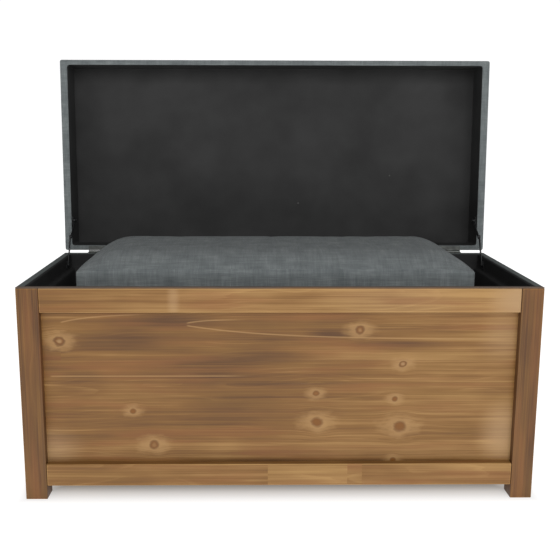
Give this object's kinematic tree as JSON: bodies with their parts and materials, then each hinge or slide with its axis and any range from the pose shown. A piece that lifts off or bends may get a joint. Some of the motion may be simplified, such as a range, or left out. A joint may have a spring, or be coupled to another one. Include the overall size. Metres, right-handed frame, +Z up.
{
  "type": "storage bench",
  "caption": "Wooden framed storage bench with a hinged upholstered box lid standing open on folding stays, and a smaller upholstered bench nested inside.",
  "frame": {"origin": "on the floor, under the middle of the bounding box with the lid open", "axes": "+X to the right along the bench, +Y from the front to the back, +Z up"},
  "size_m": [0.9, 0.5404, 0.7853],
  "materials": {
    "stained_pine": "satin clear coat over brown stain",
    "plywood": "bare board",
    "charcoal_edging": "matt edge banding",
    "black_lining": "non-woven lining",
    "grey_upholstery": "woven linen-look fabric",
    "foam": "polyurethane foam",
    "zinc_plate": "dull zinc plate",
    "black_steel": "black enamel"
  },
  "bodies": {
    "chest": {"post_front_left": "stained_pine", "post_front_right": "stained_pine", "post_rear_left": "stained_pine", "post_rear_right": "stained_pine", "top_rail_front": "stained_pine", "top_rail_rear": "stained_pine", "top_rail_left": "stained_pine", "top_rail_right": "stained_pine", "bottom_rail_front": "stained_pine", "bottom_rail_rear": "stained_pine", "bottom_rail_left": "stained_pine", "bottom_rail_right": "stained_pine", "panel_front": "stained_pine", "panel_rear": "stained_pine", "panel_left": "stained_pine", "panel_right": "stained_pine", "floor_batten_front": "plywood", "floor_batten_rear": "plywood", "floor_board": "plywood", "lining_floor": "black_lining", "lining_front": "black_lining", "lining_rear": "black_lining", "lining_left": "black_lining", "lining_right": "black_lining", "rim_trim_front": "charcoal_edging", "rim_trim_rear": "charcoal_edging", "rim_trim_left": "charcoal_edging", "rim_trim_right": "charcoal_edging", "hinge_leaf_wall": "zinc_plate", "hinge_pin": "zinc_plate", "stay_bracket_wall_left": "black_steel", "stay_bracket_wall_right": "black_steel", "nested_post_front_left": "stained_pine", "nested_post_front_right": "stained_pine", "nested_post_rear_left": "stained_pine", "nested_post_rear_right": "stained_pine", "nested_panel_front": "stained_pine", "nested_panel_rear": "stained_pine", "nested_panel_left": "stained_pine", "nested_panel_right": "stained_pine", "nested_seat_board": "plywood", "nested_cover": "grey_upholstery", "nested_foam": "foam"},
    "lid": {"hinge_leaf_lid": "zinc_plate", "lid_board_left": "plywood", "lid_board_right": "plywood", "lid_board_front": "plywood", "lid_board_rear": "plywood", "lid_board_top": "plywood", "lid_cover": "grey_upholstery", "lid_foam": "foam", "lid_lining": "black_lining", "stay_bracket_lid_left": "black_steel", "stay_bracket_lid_right": "black_steel"},
    "stay_lower_left": {"stay_arm_lower_left": "black_steel"},
    "stay_upper_left": {"stay_arm_upper_left": "black_steel"},
    "stay_lower_right": {"stay_arm_lower_right": "black_steel"},
    "stay_upper_right": {"stay_arm_upper_right": "black_steel"}
  },
  "joints": [
    {"name": "lid_hinge", "type": "hinge", "parent": "chest", "child": "lid", "pos_m": [0, 0.13111, 0.38465], "axis": [1, 0, 0], "range_deg": [0, 93]},
    {"name": "stay_lower_left", "type": "hinge", "parent": "chest", "child": "stay_lower_left", "pos_m": [-0.43065, 0.06552, 0.36671], "axis": [1, 0, 0], "range_deg": [0, 104.1]},
    {"name": "stay_upper_left", "type": "hinge", "parent": "lid", "child": "stay_upper_left", "pos_m": [-0.42885, 0.14905, 0.45024], "axis": [1, 0, 0], "range_deg": [-104.1, 0]},
    {"name": "stay_lower_right", "type": "hinge", "parent": "chest", "child": "stay_lower_right", "pos_m": [0.43065, 0.06552, 0.36671], "axis": [1, 0, 0], "range_deg": [0, 104.1]},
    {"name": "stay_upper_right", "type": "hinge", "parent": "lid", "child": "stay_upper_right", "pos_m": [0.42885, 0.14905, 0.45024], "axis": [1, 0, 0], "range_deg": [-104.1, 0]}
  ],
  "couplings": [
    {"joint": "stay_lower_left", "follows": "lid_hinge", "ratio": 1.1144},
    {"joint": "stay_upper_left", "follows": "lid_hinge", "ratio": -1.1144},
    {"joint": "stay_lower_right", "follows": "lid_hinge", "ratio": 1.1144},
    {"joint": "stay_upper_right", "follows": "lid_hinge", "ratio": -1.1144}
  ]
}
